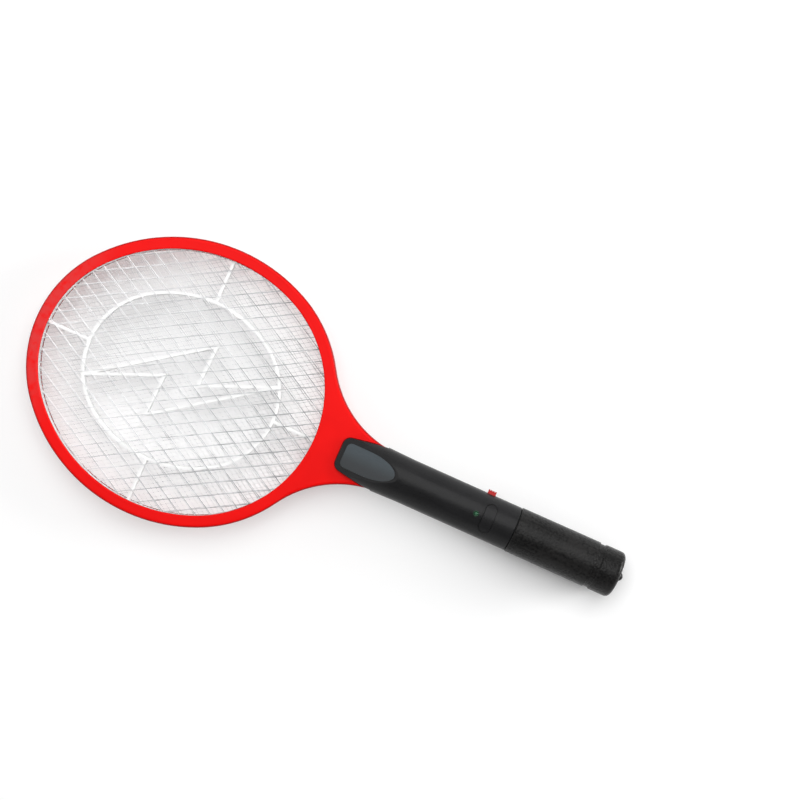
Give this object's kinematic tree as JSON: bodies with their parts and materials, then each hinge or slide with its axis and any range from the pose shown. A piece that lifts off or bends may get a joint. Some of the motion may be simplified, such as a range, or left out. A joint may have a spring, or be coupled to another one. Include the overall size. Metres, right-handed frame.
{
  "type": "electric fly swatter",
  "caption": "Racket-shaped electric fly swatter: oval head with stacked wire grids in a red frame, on a round black handle with push button, side switch and pull-off battery sleeve.",
  "frame": {"origin": "centre of the bounding box's bottom face: under the middle of the length, on the handle's centre line, level with the end cap's lowest line", "axes": "+X along the handle toward the tail, +Z out of the front face, +Y toward the side with the slide switch"},
  "size_m": [0.4924, 0.2192, 0.0369],
  "materials": {
    "red_plastic": "bright red semi-gloss moulding",
    "grid_wire": "bright tinned steel wire",
    "white_plastic": "white insulating moulding",
    "black_plastic": "semi-gloss black moulding",
    "sleeve_black": "fine-textured black moulding",
    "button_black": "satin black moulding",
    "badge": "slate-grey satin plate, bare",
    "screw_steel": "zinc-plated",
    "switch_plastic": "ivory moulding",
    "component_black": "moulded epoxy",
    "contact_metal": "nickel-plated",
    "led_green": "tinted clear epoxy",
    "board_green": "solder mask",
    "ferrite": "sintered ferrite",
    "winding_tape": "wrapped insulating tape",
    "capacitor_film": "dipped epoxy",
    "resistor_body": "lacquered",
    "lead_red": "insulated wire",
    "lead_black": "insulated wire",
    "cell_jacket": "plain unprinted metal jacket"
  },
  "bodies": {
    "swatter": {"frame_front": "red_plastic", "frame_back": "red_plastic", "front_grid": "grid_wire", "middle_grid": "grid_wire", "back_grid": "grid_wire", "front_spacer": "white_plastic", "back_spacer": "white_plastic", "ground_strap": "grid_wire", "handle_front": "black_plastic", "handle_back": "black_plastic", "badge_plate": "badge", "handle_screws": "screw_steel", "push_switch": "component_black", "slide_switch": "contact_metal", "power_led": "led_green", "circuit_board": "board_green", "transformer_core": "ferrite", "transformer_winding": "winding_tape", "high_voltage_capacitor": "capacitor_film", "rectifier_diodes": "component_black", "transistor": "component_black", "resistors": "resistor_body", "high_voltage_lead": "lead_red", "ground_lead": "lead_black", "battery_leads": "lead_red", "battery_tray": "black_plastic", "battery_cells": "cell_jacket", "battery_springs": "contact_metal", "contact_plates": "contact_metal"},
    "button": {"push_button": "button_black", "switch_plunger": "switch_plastic"},
    "power_switch": {"slide_knob": "red_plastic"},
    "battery_cover": {"battery_sleeve": "sleeve_black", "end_cap": "sleeve_black"}
  },
  "joints": [
    {"name": "button_press", "type": "slide", "parent": "swatter", "child": "button", "axis": [0, 0, -1], "range_m": [0, 0.0012], "stiffness_N_per_m": 900, "springref_m": -0.0004},
    {"name": "power_switch_slide", "type": "slide", "parent": "swatter", "child": "power_switch", "axis": [-1, 0, 0], "range_m": [0, 0.004]},
    {"name": "battery_cover_pull", "type": "slide", "parent": "swatter", "child": "battery_cover", "axis": [1, 0, 0], "range_m": [0, 0.07]}
  ]
}
